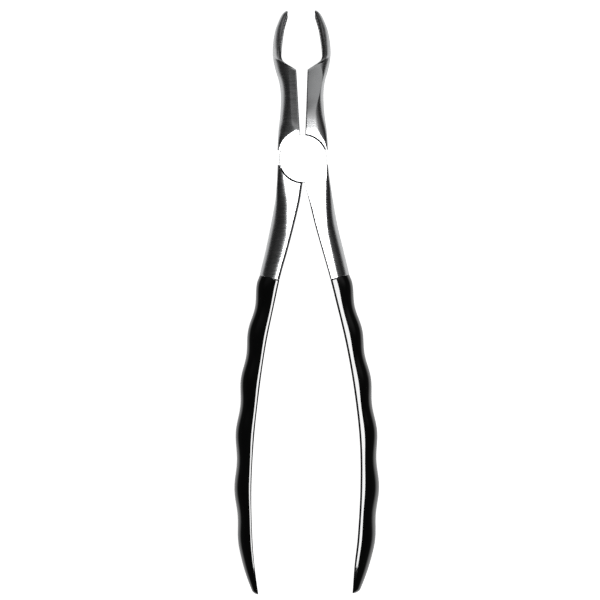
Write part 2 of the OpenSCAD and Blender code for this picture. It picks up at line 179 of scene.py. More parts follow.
# grips and the tangs under them
GRIP_LEAN = 1.35  # the grip's start is square to the handle, so its outer side leads by this
GRIP_START = -FRONT_GRIP[1].y + GRIP_LEAN
GRIP_SKEW = 0.24
GRIP_SKEW_IN_RUN = (8, 20)
GRIP_SKEW_OUT_RUN = (70, 40)
GRIP_H_START = 9.5
GRIP_H_PALM = 9.9
GRIP_H_RUN = (50, 40)
GRIP_THIN_SHARE = 0.8  # share of the height that is left at the end
GRIP_THIN_RUN = (96, 30)
GRIP_WALL = 1.0
GRIP_EDGE = 0.6
GRIP_DOME = 14  # length over which the grip's height rounds off
PALM_RUN = (80, 25)
PALM_CREST = 0.8  # share of a grip's crest that is left in the palm
LIP_IN = 0.18  # rounding of the grip's start, across and in height
LIP_DOWN = 0.3
LIP_LEN = 0.5
HOLLOW_DEPTH = 0.35
SWELL_START = 38.3
SWELL_FIRST = 36  # the swells' rhythm starts here
SWELL_PITCH = 13.2
SWELL_GROWTH = 0.8
SWELL_IN_RUN = (35.2, 2.6)
SWELL_OUT_RUN = (100, 22)
TANG_LEN = HANDLE_LEN - 10
TANG_ROUND = 6
TANG_BLUNT = 0.5  # the rounding is cut off this far before its point
TANG_SHY = 0.1  # extra height between tang and grip wall
TANG_CREST = 0.35
TANG_EDGE = 0.15
FIT_GAP = 0.03

# ---------------------------------------------------------------- fineness
# points round a section: over the outer side, on a flat crest, round an inner edge and
# along the inner side
N_OUT = 48
CREST_STEPS = (0.96, 0.85, 0.7, 0.5, 0.3, 0.15, 0.04)
N_EDGE = 6
N_IN = 24
N_RIM = N_EDGE + len(CREST_STEPS)
# steps between sections along each part
NECK_STEPS = 70
BEAK_STEPS = 130
TIP_STEPS = 12
BARE_STEPS = 60
TANG_STEPS = 40
LIP_STEPS = 6
GRIP_STEPS = 150
DOME_STEPS = 60
DOME_LEN = 8  # length of the grip's end that has the finer steps
# turned solids
N_TURN = 192
N_ARC = 5
N_FILLET = 6
LATHE_TURN = 0.37  # keeps the corners of turned solids off the edges of the lofts

# ---------------------------------------------------------------- curves


def clamp01(t):
    return min(1.0, max(0.0, t))


def smooth(t):
    c = clamp01(t)
    return c * c * (3 - 2 * c)


def ramp(s, run):
    """Rises smoothly from 0 to 1 over a run."""
    return smooth((s - run[0]) / run[1])


def mix(a, b, t):
    return a + (b - a) * t


def quarter(count):
    """Angles of a quarter turn, from 0."""
    return [math.pi / 2 * i / count for i in range(count + 1)]


def end_round(s, length, r, left=0.002):
    """Runs from 1 down to nearly 0 over a rounded end; left is the square of what is left."""
    return math.sqrt(max(left, 1 - clamp01((s - length + r) / r) ** 2))


def curve(points, s):
    """Smooth curve through a few (position, value) pairs."""
    last = len(points) - 2
    i = next((k for k in range(last) if s <= points[k + 1][0]), last)

    def slope(k):
        a, b = points[max(0, k - 1)], points[min(len(points) - 1, k + 1)]
        return (b[1] - a[1]) / (b[0] - a[0])

    d = points[i + 1][0] - points[i][0]
    t = (s - points[i][0]) / d
    return (
        (2 * t**3 - 3 * t**2 + 1) * points[i][1]
        + (t**3 - 2 * t**2 + t) * d * slope(i)
        + (3 * t**2 - 2 * t**3) * points[i + 1][1]
        + (t**3 - t**2) * d * slope(i + 1)
    )


# ---------------------------------------------------------------- sections
# A section is a list of (across, up) points, across counted from the lever's inner side.


def outer_arc(crest, w, h_top, h_back, fall, belly):
    """Round outer side from the front crest at (crest, h_top) to the back crest.

    belly is how far the widest line lies behind the section's middle.
    """
    top = math.radians(fall)
    points = []
    for i in range(N_OUT + 1):
        a = top * (1 - 2 * i / N_OUT)
        across = (math.cos(a) - math.cos(top)) / (1 - math.cos(top))
        h = h_top + belly if a > 0 else h_back - belly
        points.append((mix(crest, w, across), h * math.sin(a) / math.sin(top) - belly))
    return points


def d_section(w, crest, h_top, h_back, edge, fall=GRIP_FALL, belly=0.0, lean=0.0, crown=0.0):
    """Flat inner side, flat crests front and back, round outer side.

    lean is the fall of the front crest towards the outer side, crown its bulge.
    """
    def front(x):
        f = clamp01((x - edge) / (crest - edge))
        return h_top - lean * (x - edge) - crown * (2 * f - 1) ** 2

    points = outer_arc(crest, w, front(crest), h_back, fall, belly)
    points += [(mix(edge, crest, f), -h_back) for f in CREST_STEPS]
    for b in quarter(N_EDGE)[:0:-1]:
        points.append((edge * (1 - math.cos(b)), edge * (1 - math.sin(b)) - h_back))
    low, high = edge - h_back, front(edge) - edge
    points += [(0, mix(low, high, i / N_IN)) for i in range(N_IN + 1)]
    for b in quarter(N_EDGE)[1:]:
        points.append((edge * (1 - math.cos(b)), high + edge * math.sin(b)))
    return points + [(x, front(x)) for x in (mix(edge, crest, f) for f in reversed(CREST_STEPS))]


def beak_section(w, half_w, hollow, ridge, groove, fall, belly):
    """Hollow grooved inner face, bevels up to a ridge at each rim, convex outer face."""
    points = outer_arc(ridge, w, half_w, half_w, fall, belly)
    bevel = []
    for i in range(1, N_RIM + 1):
        f = 1 - i / (N_RIM + 1)
        rise = math.sin(RIM_TURN * f) / math.sin(RIM_TURN)
        bevel.append((ridge * f, half_w * mix(RIM_SHARE, 1, rise)))
    points += [(x, -y) for x, y in bevel]
    for i in range(N_IN + 1):
        t = 2 * i / N_IN - 1
        fade = smooth((1 - abs(t)) / GROOVE_RIM)
        points.append((hollow * (1 - t * t) + groove * fade, half_w * RIM_SHARE * t))
    return points + bevel[::-1]


# ---------------------------------------------------------------- neck and beak
# Drawn on the +X side; s is the distance from the joint axis towards the beaks.

OUTER_LINE = [
    (NECK_START, JOINT_HALF_W), (8.5, 7.1), (13, 6.55), (18.5, NECK_OUT_WAIST),
    (22.5, NECK_OUT_WAIST + 0.42), (26.5, BEAK_OUT - 0.7), (30.5, BEAK_OUT),
    (34.5, BEAK_OUT - 0.13), (38.5, BEAK_OUT - 0.85), (41.5, BEAK_OUT - 2),
    (BEAK_LEN - 0.9, BEAK_OUT - 2.8), (BEAK_LEN, BEAK_OUT - 3.5),
]
BEAK_IN_LINE = [
    (BEAK_IN_START, NECK_IN_SHOULDER + 2.95), (29.2, 5.77), (31, 6.07), (33.6, 5.85),
    (36.5, 5.5), (39.5, 5), (42, 4.25), (BEAK_LEN, 3.7),
]

# crest: width of the flat crest along the neck. belly: how far the widest line lies behind
# the neck's middle. fall_run: where the outer side goes over to the neck's own fall.
# lean, crown: of the crest, from the joint outwards. straight: the crest falls straight
# from the joint and doesn't follow the bend. ridge: share of the beak's width between its
# inner side and its ridges.
Jaw = namedtuple("Jaw", "crest belly fall_run lean crown straight ridge")

FRONT_JAW = Jaw(
    crest=[
        (NECK_START, 6.3), (3.5, 5.9), (4.5, 5.45), (5.6, 4.6), (6.5, 3.8), (7.5, 2.45),
        (8.4, 1.2), (10, 2), (12, 2.25), (NECK_LEN, 2.25),
    ],
    belly=[(NECK_START, -3.3), (5, -3.2), (8.5, -1), (12, 1), (18, 2.2), (NECK_LEN, 2.4)],
    fall_run=(4, 10),
    lean=0.2,
    crown=0,
    straight=True,
    ridge=0.16,
)
REAR_JAW = Jaw(
    crest=[
        (NECK_START, 6.3), (5, 5.4), (7, 3.9), (8.5, 3.2), (11.5, 2.7), (14, 2.75), (18, 3.8),
        (22, 4.6), (24.2, 4.3), (NECK_LEN, 3),
    ],
    belly=[(NECK_START, -3.3), (6, -3), (10, -1.5), (15, 0), (20, 0.8), (NECK_LEN, 0.8)],
    fall_run=(10, 10),
    lean=0,
    crown=0.08,
    straight=False,
    ridge=0.36,
)


def neck_in(s):
    return mix(NECK_IN_JOINT, NECK_IN_SHOULDER, (s - DISC_R) / (NECK_LEN - DISC_R))


def drop(s):
    """Drop of the neck's middle line below the joint's middle plane."""
    length = BEND_TO - BEND_FROM
    t = clamp01((s - BEND_FROM) / length)
    return math.tan(BEND) * (length * (t**3 - t**4 / 2) + max(0, s - BEND_TO))


def flat_rise(s):
    return FLAT_RISE * clamp01((FLAT_REACH - s) / FLAT_FADE)


def neck_half_h(s):
    start, length = NECK_DIP_RUN
    dip = NECK_DIP * (1 - (1 - clamp01((s - start) / length)) ** 2)
    return mix(MID_Z, NECK_H / 2, ramp(s, NECK_H_RUN)) + flat_rise(s) - dip


def straight_top(s):
    """Height over the neck's middle line of a crest that falls straight from the joint."""
    end = MID_Z - drop(NECK_LEN) + neck_half_h(NECK_LEN)
    fall = (JOINT_T - end) / (NECK_LEN - FLAT_REACH)
    return JOINT_T - fall * max(0, s - FLAT_REACH) + flat_rise(s) - (MID_Z - drop(s))


def neck_ring(jaw, s):
    skew = SHOULDER_SLOPE * ramp(s, SHOULDER_RUN)
    a = Vector((neck_in(s), s))
    b_s = s + skew * (curve(OUTER_LINE, s) - a.x)
    b = Vector((curve(OUTER_LINE, b_s), b_s))
    w = b.x - a.x
    half_h = neck_half_h(s)
    crest = min(w - NECK_SIDE, curve(jaw.crest, s))
    trim = max(0, s - NECK_LEN + SHOULDER_BREAK)
    top = (straight_top(s) if jaw.straight else half_h) - trim
    fall = mix(JOINT_FALL, NECK_FALL, ramp(s, jaw.fall_run))
    lean, crown = jaw.lean * ramp(s, LEAN_RUN), jaw.crown * ramp(s, CROWN_RUN)
    belly = curve(jaw.belly, s)
    ring = []
    for across, up in d_section(w, crest, top, half_h, NECK_EDGE, fall, belly, lean, crown):
        q = a + (b - a) * across / w
        ring.append((q.x, q.y, MID_Z - drop(q.y) + up))
    return ring


def groove_at(b_s):
    """Depth of the gripping grooves across the beak's inner face."""
    span = ramp(b_s, GROOVE_IN_RUN) * (1 - ramp(b_s, GROOVE_OUT_RUN))
    wave = abs(2 * ((b_s / GROOVE_PITCH) % 1) - 1)
    return GROOVE_DEPTH * span * smooth(wave)


def beak_ring(jaw, t):
    """t runs from 0 at the shoulder to 1 at the tip."""
    a_s, b_s = mix(BEAK_IN_START, BEAK_LEN, t), mix(BEAK_OUT_START, BEAK_LEN, t)
    end = end_round(b_s, BEAK_LEN, TIP_ROUND, TIP_LEFT)
    a0 = Vector((curve(BEAK_IN_LINE, a_s), a_s))
    b0 = Vector((curve(OUTER_LINE, b_s), b_s))
    c = (a0 + b0) / 2
    a, b = c.lerp(a0, end), c.lerp(b0, end)
    w = (b - a).length
    bent = smooth(t * 4)
    tilt = BEND * bent
    half_w = BLADE_W / 2 * (1 - BLADE_TAPER * smooth((t - 0.05) / 0.95)) * math.sqrt(end)
    ridge = w * mix(0.5, jaw.ridge, smooth(t * 3))
    hollow = SPOON_DEPTH * end * min(1, t * 8)
    fall = mix(NECK_FALL, BEAK_FALL, bent)
    belly = jaw.belly[-1][1] * (1 - bent)
    ring = []
    for across, up in beak_section(w, half_w, hollow, ridge, groove_at(b_s), fall, belly):
        q = a + (b - a) * across / w
        y = q.y + up * math.sin(tilt) - BEAK_SETBACK * bent * math.sin(BEND)
        ring.append((q.x, y, MID_Z - drop(q.y) + up * math.cos(tilt)))
    return ring


def jaw_rings(jaw):
    end = NECK_LEN - SHOULDER_BREAK
    steps = [mix(NECK_START, end, i / NECK_STEPS) for i in range(NECK_STEPS + 1)] + [NECK_LEN]
    tip = (BEAK_LEN - TIP_ROUND - BEAK_OUT_START) / (BEAK_LEN - BEAK_OUT_START)
    shares = [tip * i / BEAK_STEPS for i in range(BEAK_STEPS)]
    shares += [mix(tip, 1, math.sin(b)) for b in quarter(TIP_STEPS)]
    return [neck_ring(jaw, s) for s in steps] + [beak_ring(jaw, t) for t in shares]


# ---------------------------------------------------------------- handle
# Drawn on the +X side; s is the distance from the joint axis towards the handle ends.

# inner, width: lines along the handle. crest: outer limit of the flat crest on the bare
# steel. edge, edge_start: rounding of the steel's inner edges and where it begins.
# belly: how far the steel's widest line lies behind the middle. grip_crest, grip_belly:
# share of the grip's width on its crest, and its belly in the palm.
Handle = namedtuple("Handle", "inner width crest edge edge_start belly grip_crest grip_belly")

REAR_HANDLE = Handle(
    inner=[
        (HANDLE_START, -0.9), (7.3, 0.2), (12.7, 1.1), (19.8, 2.85), (26.9, 4.76), (34, 6.85),
        (41, 8.5), (55.2, 11.6), (69.4, 13.8), (83.5, HANDLE_SPREAD - 0.6),
        (97.7, HANDLE_SPREAD + 0.25), (111.9, HANDLE_SPREAD + 0.1),
        (120, HANDLE_SPREAD - 0.45), (HANDLE_LEN, HANDLE_SPREAD - 1.45),
    ],
    width=[
        (HANDLE_START, 8.4), (7.3, 7.6), (16.2, 7.1), (30.4, 6.4), (44.6, 5.9), (71.7, 5.45),
        (83.5, 5.15), (100, 4.6), (112, 4.25), (HANDLE_LEN, 4.1),
    ],
    crest=[
        (HANDLE_START, 6.4), (4.6, 5.6), (7.3, 5.1), (12, 4.4), (16.5, 4.4), (22.4, 4.6),
        (28.3, 5.5), (32.8, 6.75), (36, 7.6),
    ],
    edge=0.8,
    edge_start=1,
    belly=0.6,
    grip_crest=0.16,
    grip_belly=0.4,
)
FRONT_HANDLE = Handle(
    inner=[
        (HANDLE_START, -0.9), (7.3, 0.5), (12.7, 1.76), (19.8, 3.39), (26.9, 5.3), (34, 7.25),
        (41, 8.97), (55.2, 12.17), (69.4, 14.45), (83.5, HANDLE_SPREAD - 0.25),
        (97.7, HANDLE_SPREAD - 0.25), (111.9, HANDLE_SPREAD - 1.2),
        (120, HANDLE_SPREAD - 2.2), (HANDLE_LEN, HANDLE_SPREAD - 2.9),
    ],
    width=[
        (HANDLE_START, 8.3), (7.3, 7.5), (16.2, 6.8), (30.4, 6.17), (44.6, 5.55), (71.7, 5.1),
        (83.5, 5.05), (100, 5.25), (112, 5.25), (120, 5.5), (HANDLE_LEN, 5.3),
    ],
    crest=[
        (HANDLE_START, 7.1), (4.6, 6.85), (7.3, 6.5), (12, 6.35), (16.5, 6.45), (22.4, 6.85),
        (28.3, 7.95), (32.8, 8.9), (36, 9.6),
    ],
    edge=0.5,
    edge_start=8,
    belly=1.0,
    grip_crest=0.3,
    grip_belly=1.3,
)


def handle_mid_z(s):
    past = max(0, s - HANDLE_RISE_FROM) / (HANDLE_LEN - HANDLE_RISE_FROM)
    return MID_Z + HANDLE_RISE * past**2


def swell(s):
    """Finger swells on the outer side, each a little longer than the one before."""
    a, b = SWELL_PITCH, SWELL_GROWTH / 2
    count = (math.sqrt(a * a + 4 * b * (max(SWELL_FIRST, s) - SWELL_START)) - a) / (2 * b)
    fade = ramp(s, SWELL_IN_RUN) * (1 - ramp(s, SWELL_OUT_RUN))
    return HOLLOW_DEPTH * fade * math.cos(2 * math.pi * count)


def handle_in(handle, s):
    return curve(handle.inner, s)


def handle_out(handle, s):
    taper = clamp01((s - HANDLE_LEN + END_TAPER) / END_TAPER)
    width = curve(handle.width, s) * (1 - END_SHARE * taper**2)
    return handle_in(handle, s) + width * end_round(s, HANDLE_LEN, END_ROUND)


def handle_across(handle, s):
    """From the inner side to the outer, square to the handle where it leans outwards."""
    skew = GRIP_SKEW * ramp(s, GRIP_SKEW_IN_RUN) * (1 - ramp(s, GRIP_SKEW_OUT_RUN))
    b_s = s - skew * (handle_out(handle, s) - handle_in(handle, s))
    return Vector((handle_out(handle, b_s) - handle_in(handle, s), s - b_s))


def handle_place(handle, section, s, inset=0.0):
    u = handle_across(handle, s).normalized()
    x, z = handle_in(handle, s), handle_mid_z(s)
    return [(x + u.x * (p + inset), u.y * (p + inset) - s, z + q) for p, q in section]


def bare_ring(handle, s):
    w = handle_across(handle, s).length
    edge = mix(HANDLE_SHARP, handle.edge, smooth((s - handle.edge_start) / HANDLE_EDGE_LEN))
    crest = min(w - HANDLE_SIDE, curve(handle.crest, s) - handle_in(handle, s))
    crest = max(edge + HANDLE_CREST, crest)
    belly = mix(HANDLE_BELLY, handle.belly, ramp(s, HANDLE_BELLY_RUN))
    return handle_place(handle, d_section(w, crest, MID_Z, MID_Z, edge, JOINT_FALL, belly), s)


def grip_half_h(s):
    h = mix(GRIP_H_START / 2, GRIP_H_PALM / 2, ramp(s, GRIP_H_RUN))
    return h * mix(1, GRIP_THIN_SHARE, ramp(s, GRIP_THIN_RUN))


def tang_ring(handle, s, grow=0.0):
    end = end_round(s, TANG_LEN + TANG_BLUNT, TANG_ROUND)
    w0 = handle_across(handle, s).length - 2 * GRIP_WALL - HOLLOW_DEPTH
    w = w0 * end + 2 * grow
    h = (grip_half_h(s) - GRIP_WALL - TANG_SHY) * end + grow
    section = d_section(w, w * TANG_CREST, h, h, w * TANG_EDGE)
    return handle_place(handle, section, s, GRIP_WALL + (w0 - w) / 2)


def grip_ring(handle, s, lip):
    """lip is the rounding left of the grip's start edge, 1 at the start and 0 beyond it."""
    w = handle_across(handle, s).length + swell(s) - 2 * LIP_IN * lip
    h = (grip_half_h(s) - LIP_DOWN * lip) * end_round(s, HANDLE_LEN, GRIP_DOME)
    palm = ramp(s, PALM_RUN)
    crest = w * handle.grip_crest * mix(1, PALM_CREST, palm)
    section = d_section(w, crest, h, h, min(GRIP_EDGE, crest / 2), belly=handle.grip_belly * palm)
    return handle_place(handle, section, s, LIP_IN * lip)


def tang_steps():
    return [mix(GRIP_START, TANG_LEN, math.sin(b)) for b in quarter(TANG_STEPS)]


def handle_rings(handle):
    bare = [mix(HANDLE_START, GRIP_START, i / BARE_STEPS) for i in range(BARE_STEPS + 1)]
    rings = [bare_ring(handle, s) for s in bare] + [tang_ring(handle, s) for s in tang_steps()]
    return rings[::-1]


def grip_rings(handle):
    start = GRIP_START + FIT_GAP
    first, last = start + LIP_LEN, HANDLE_LEN - DOME_LEN
    outer = [(start + LIP_LEN * (1 - math.cos(b)), 1 - math.sin(b)) for b in quarter(LIP_STEPS)]
    outer += [(mix(first, last, i / GRIP_STEPS), 0) for i in range(1, GRIP_STEPS + 1)]
    outer += [(last + DOME_LEN * math.sin(b), 0) for b in quarter(DOME_STEPS)[1:]]
    bore = tang_steps()
    bore[0] += FIT_GAP
    bore[-1] += FIT_GAP
    rings = [grip_ring(handle, s, lip) for s, lip in reversed(outer)]
    return rings + [tang_ring(handle, s, FIT_GAP) for s in bore]


# ---------------------------------------------------------------- meshes


def mesh_object(name, verts, faces):
    mesh = bpy.data.meshes.new(name)
    mesh.from_pydata(verts, [], faces)
    mesh.update()
    obj = bpy.data.objects.new(name, mesh)
    bpy.context.collection.objects.link(obj)
    return obj


def loft(name, rings, mirrored=False):
    """Skin over rings with equal numbers of points, closed by a cap at each end."""
    n = len(rings[0])
    sign = -1 if mirrored else 1
    verts = [(sign * x, y, z) for ring in rings for x, y, z in ring]
    faces = [tuple(range(n)), tuple((len(rings) - 1) * n + j for j in reversed(range(n)))]
    for i in range(len(rings) - 1):
        for j in range(n):
            k = (j + 1) % n
            faces.append((i * n + j, (i + 1) * n + j, (i + 1) * n + k, i * n + k))
    if not mirrored:
        faces = [face[::-1] for face in faces]
    return mesh_object(name, verts, faces)


def lathe(name, profile):
    """Solid of revolution about the joint axis from (radius, z) points, axis to axis."""
    n = len(profile) - 2
    verts = [(0, 0, profile[0][1]), (0, 0, profile[-1][1])]
    for i in range(N_TURN):
        a = 2 * math.pi * (i + LATHE_TURN) / N_TURN
        verts += [(r * math.cos(a), r * math.sin(a), z) for r, z in profile[1:-1]]
    faces = []
    for i in range(N_TURN):
        p, q = 2 + i * n, 2 + (i + 1) % N_TURN * n
        faces.append((0, q, p))
        faces += [(p + j, q + j, q + j + 1, p + j + 1) for j in range(n - 1)]
        faces.append((1, p + n - 1, q + n - 1))
    return mesh_object(name, verts, faces)


def block(name, low, high):
    corners = [
        (x, y, z) for z in (low[2], high[2]) for y in (low[1], high[1]) for x in (low[0], high[0])
    ]
    faces = [(0, 2, 3, 1), (4, 5, 7, 6), (0, 1, 5, 4), (2, 6, 7, 3), (0, 4, 6, 2), (1, 3, 7, 5)]
    return mesh_object(name, corners, faces)


def combine(target, other, operation):
    """Applies a boolean with another solid and removes that solid."""
    modifier = target.modifiers.new(operation, "BOOLEAN")
    modifier.operation, modifier.solver, modifier.object = operation, "EXACT", other
    graph = bpy.context.evaluated_depsgraph_get()
    result = bpy.data.meshes.new_from_object(target.evaluated_get(graph))
    target.modifiers.clear()
    old, target.data = target.data, result
    bpy.data.meshes.remove(old)
    bpy.data.meshes.remove(other.data)
    return target


def finish_mesh(obj, name, material, body, node, sharp=35):
    """Scales a piece to metres and gives it shading, material, body and slot."""
    obj.name = obj.data.name = name
    obj.data.transform(Matrix.Scale(MM, 4))
    obj.data.materials.clear()
    obj.data.materials.append(material)
    for face in obj.data.polygons:
        face.use_smooth = True
        face.material_index = 0
    obj.data.set_sharp_from_angle(angle=math.radians(sharp))
    shade = obj.modifiers.new("even_shading", "WEIGHTED_NORMAL")
    shade.mode, shade.keep_sharp = "FACE_AREA", True
    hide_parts(node)
    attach(obj, body)


# ---------------------------------------------------------------- joint solids
# sign is 1 for the front lever, whose lap disc is in front, and -1 for the rear lever.


def recess_tool(sign, floor):
    """Pocket from one face up to the parting plane, its rim broken and its root filleted."""
    face = 0 if sign > 0 else JOINT_T
    rim_r = RECESS_R + EDGE_BREAK
    profile = [(0, face - sign * PAST), (rim_r, face - sign * PAST),
               (RECESS_R + EDGE_BREAK * 0.8, face), (RECESS_R, face + sign * EDGE_BREAK)]
    for a in reversed(quarter(N_FILLET)):
        inward, short = ROOT_FILLET * (1 - math.sin(a)), ROOT_FILLET * (1 - math.cos(a))
        profile.append((RECESS_R - inward, floor - sign * short))
    profile.append((0, floor))
    return lathe("recess", profile if sign > 0 else profile[::-1])


def lap_disc(sign, floor):
    """Disc from the parting plane to one face, its edge rounded."""
    face = JOINT_T if sign > 0 else 0
    profile = [(0, floor), (DISC_R, floor)]
    for a in quarter(N_ARC):
        inward, short = EDGE_BREAK * (1 - math.cos(a)), EDGE_BREAK * (1 - math.sin(a))
        profile.append((DISC_R - inward, face - sign * short))
    profile.append((0, face))
    return lathe("disc", profile if sign > 0 else profile[::-1])


def thread_outline(grow):
    """Ridges of the thread as (radius, z) points."""
    start = MID_Z + THREAD_RUNOUT
    root, top = THREAD_R - THREAD_DEPTH + grow, THREAD_R + grow
    ridges = int((JOINT_T - MID_Z - THREAD_CLEAR) / THREAD_PITCH)
    points = []
    for i in range(ridges):
        points.append((root, start + THREAD_PITCH * i))
        points.append((top, start + THREAD_PITCH * (i + 0.5)))
    end = start + THREAD_PITCH * ridges
    return points + [(root, end), (top, end + THREAD_RUNOUT)]


def thread_hole():
    core = THREAD_R - THREAD_DEPTH + THREAD_GAP
    end = THREAD_R + THREAD_GAP
    rim = end + SCREW_CHAMFER
    profile = [(0, MID_Z - PAST), (core, MID_Z - PAST)] + thread_outline(THREAD_GAP)
    profile += [(end, JOINT_T - SCREW_CHAMFER), (rim, JOINT_T), (rim, JOINT_T + PAST),
                (0, JOINT_T + PAST)]
    return lathe("thread_hole", profile)


def shank_hole():
    head, shank = HEAD_R + RUNNING_GAP, SHANK_R + RUNNING_GAP
    rim = head + HOLE_CHAMFER
    return lathe("shank_hole", [
        (0, -PAST), (rim, -PAST), (rim, 0), (head, HOLE_CHAMFER), (head, HEAD_RIM),
        (shank, HEAD_RIM + HEAD_R - SHANK_R), (shank, MID_Z + PAST), (0, MID_Z + PAST),
    ])


# ---------------------------------------------------------------- pieces


def forge_lever(jaw, handle, sign):
    """One lever's blank, cut level with the joint's faces, with its recess and lap disc."""
    floor = MID_Z + sign * FACE_GAP / 2
    x = TOOL_REACH
    front_tool = block("top", (-x, 0, JOINT_T), (x, FRONT_FLAT, JOINT_T + TOOL_REACH))
    back_tool = block("bottom", (-x, 0, -TOOL_REACH), (x, BACK_FLAT, 0))
    lever = loft("blank", jaw_rings(jaw), mirrored=sign > 0)
    combine(lever, front_tool, "DIFFERENCE")
    combine(lever, back_tool, "DIFFERENCE")
    combine(lever, loft("handle", handle_rings(handle), mirrored=sign < 0), "UNION")
    combine(lever, recess_tool(sign, floor), "DIFFERENCE")
    return combine(lever, lap_disc(sign, floor), "UNION")


def build_front_half(material):
    lever = combine(forge_lever(FRONT_JAW, FRONT_HANDLE, 1), thread_hole(), "DIFFERENCE")
    finish_mesh(lever, "front_lever_steel", material, "front_lever", "front_half")


def build_rear_half(material):
    lever = combine(forge_lever(REAR_JAW, REAR_HANDLE, -1), shank_hole(), "DIFFERENCE")
    finish_mesh(lever, "rear_lever_steel", material, "rear_lever", "rear_half")


def build_screw(material):
    """Slotted countersunk head, plain shank in the rear lever, thread in the front one."""
    end = JOINT_T - SCREW_SINK
    shank_end = MID_Z - SHANK_SHY
    profile = [
        (0, HEAD_SINK), (HEAD_R - SCREW_CHAMFER, HEAD_SINK), (HEAD_R, HEAD_SINK + SCREW_CHAMFER),
        (HEAD_R, HEAD_RIM), (SHANK_R, HEAD_RIM + HEAD_R - SHANK_R), (SHANK_R, shank_end),
        (THREAD_R - THREAD_DEPTH, shank_end),
    ]
    profile += thread_outline(0)
    profile += [(THREAD_R, end - SCREW_CHAMFER), (THREAD_R - SCREW_CHAMFER, end), (0, end)]
    x, y = HEAD_R + PAST, SLOT_W / 2
    screw = lathe("screw", profile)
    combine(screw, block("slot", (-x, -y, -PAST), (x, y, SLOT_DEPTH)), "DIFFERENCE")
    finish_mesh(screw, "joint_screw_turned", material, "front_lever", "joint_screw")


def build_grip(side, handle, material):
    grip = loft("grip", grip_rings(handle), mirrored=side == "rear")
    finish_mesh(grip, f"{side}_grip_moulded", material, f"{side}_lever",
                f"{side}_grip", sharp=50)


# ---------------------------------------------------------------- materials

STEEL_DARK = (0.56, 0.57, 0.58, 1)
STEEL_LIGHT = (0.66, 0.665, 0.67, 1)
# painted shade: near-black colour painted into the gap between each lap disc and its recess
SEAM_PAINTED_SHADE = (0.02, 0.018, 0.016, 1)
SCREW_GREY = (0.5, 0.5, 0.51, 1)
GRIP_BLACK = (0.0003, 0.0003, 0.0003, 1)
FACING_RING_PITCH = 0.22  # mm between the turned rings on the joint faces
SCREW_RING_PITCH = 0.14


class Shader:
    """A material's or world's node tree with short calls for adding and joining nodes."""

    def __init__(self, owner):
        owner.use_nodes = True
        self.owner = owner
        self.nodes = owner.node_tree.nodes
        self.links = owner.node_tree.links

    def add(self, kind, inputs=None, **settings):
        node = self.nodes.new("ShaderNode" + kind)
        for key, value in settings.items():
            setattr(node, key, value)
        for key, value in (inputs or {}).items():
            self.join(value, node.inputs[key])
        return node.outputs[0] if len(node.outputs) == 1 else node

    def join(self, value, socket):
        if isinstance(value, bpy.types.NodeSocket):
            self.links.new(value, socket)
        else:
            socket.default_value = value

    def set(self, **inputs):
        surface = self.nodes["Principled BSDF"]
        for key, value in inputs.items():
            self.join(value, surface.inputs[key.replace("_", " ")])

    def math(self, operation, a, b=0.0):
        return self.add("Math", {0: a, 1: b}, operation=operation)

    def blend(self, factor, a, b, data_type="FLOAT"):
        node = self.add("Mix", {"Factor": factor, "A": a, "B": b}, data_type=data_type)
        return node.outputs["Result"]

    def fit(self, value, low, high, to_low=0, to_high=1):
        """Maps a value from one range to another, clamped."""
        return self.add("MapRange", {
            "Value": value, "From Min": low, "From Max": high,
            "To Min": to_low, "To Max": to_high}).outputs[0]

    def millimetres(self, scale=(1, 1, 1)):
        """The piece's own coordinates in millimetres, stretched by scale."""
        place = self.add("TexCoord").outputs["Object"]
        return self.add("Mapping", {"Vector": place, "Scale": tuple(k / MM for k in scale)})

    def split(self, vector):
        return self.add("SeparateXYZ", {0: vector}).outputs

    def noise(self, vector, scale, detail, roughness):
        return self.add("TexNoise", {
            "Vector": vector, "Scale": scale, "Detail": detail,
            "Roughness": roughness}).outputs[0]

    def axis_distance(self, x, y):
        """Distance from the joint axis."""
        squares = self.math("ADD", self.math("POWER", x, 2.0), self.math("POWER", y, 2.0))
        return self.math("SQRT", squares)

    def rings(self, radius, pitch):
        return self.math("SINE", self.math("MULTIPLY", radius, 2 * math.pi / pitch))

    def bump(self, height, strength, depth_mm):
        return self.add("Bump", {
            "Strength": strength, "Distance": depth_mm * MM, "Height": height})


def seam_shade_mask(m, x, z, radius):
    """Painted shade: 1 deep in the seam between a lap disc and its recess, 0 where light reaches
    it.
    """
    inside = m.math("MULTIPLY", m.fit(z, 0.25, 0.5), m.fit(z, JOINT_T - 0.25, JOINT_T - 0.5))
    seam = m.math("MULTIPLY", m.fit(radius, DISC_R - 0.1, DISC_R - 0.02),
                  m.fit(radius, RECESS_R + 0.1, RECESS_R + 0.02))
    enclosed = m.fit(m.math("ABSOLUTE", x), SEAM_END, SEAM_END - 0.15)
    return m.math("MULTIPLY", m.math("MULTIPLY", inside, seam), enclosed)


def faced_mask(m, radius):
    """1 on the flat faces of the joint, which are turned and not ground."""
    normal = m.split(m.add("NewGeometry").outputs["Normal"])
    facing = m.fit(m.math("ABSOLUTE", normal[2]), 0.985, 0.999)
    return m.math("MULTIPLY", facing, m.fit(radius, RECESS_R + 0.4, RECESS_R - 0.1))


